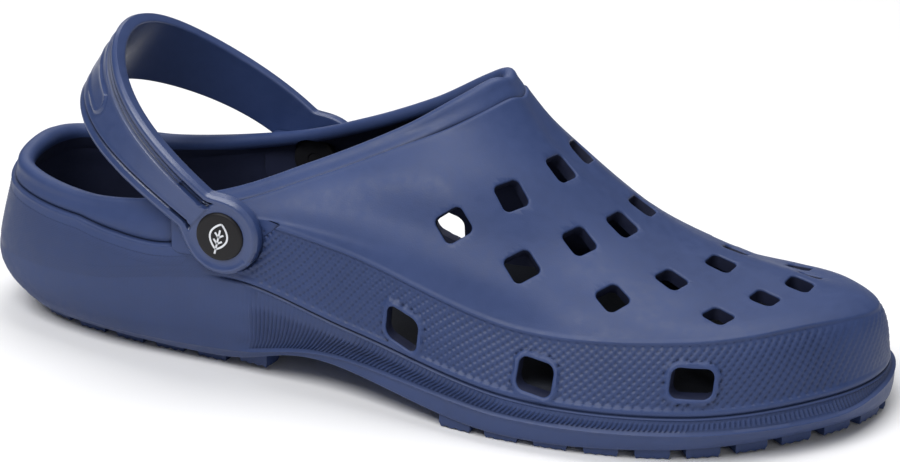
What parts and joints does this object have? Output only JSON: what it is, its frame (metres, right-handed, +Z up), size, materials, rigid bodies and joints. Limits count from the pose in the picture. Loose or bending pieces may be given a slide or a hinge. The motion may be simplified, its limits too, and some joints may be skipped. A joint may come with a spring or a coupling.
{
  "type": "rubber garden clog",
  "caption": "Slip-on garden clog for the right foot in moulded foam, with vent holes, a lugged sole, a loose insole and a swinging heel strap on snap rivets.",
  "frame": {"origin": "middle of the bounding box's bottom, where the sole's lugs stand", "axes": "+X from the heel to the toe, +Z up, +Y towards the inner side of the foot"},
  "size_m": [0.2974, 0.1188, 0.1012],
  "materials": {
    "navy_foam": "satin moulded EVA foam, navy blue",
    "charcoal_liner": "matte fine-grained foam, charcoal",
    "dark_plastic": "smooth moulded plastic, charcoal"
  },
  "bodies": {
    "clog": {"clog_shell": "navy_foam", "insole": "charcoal_liner", "rivet_head_lateral": "dark_plastic", "rivet_head_medial": "dark_plastic", "rivet_back_lateral": "dark_plastic", "rivet_back_medial": "dark_plastic"},
    "strap": {"heel_strap": "navy_foam"}
  },
  "joints": [
    {"name": "strap_pivot", "type": "hinge", "parent": "clog", "child": "strap", "pos_m": [-0.05053, -0.00634, 0.0492], "axis": [0, 1, 0], "range_deg": [-17, 98]}
  ]
}
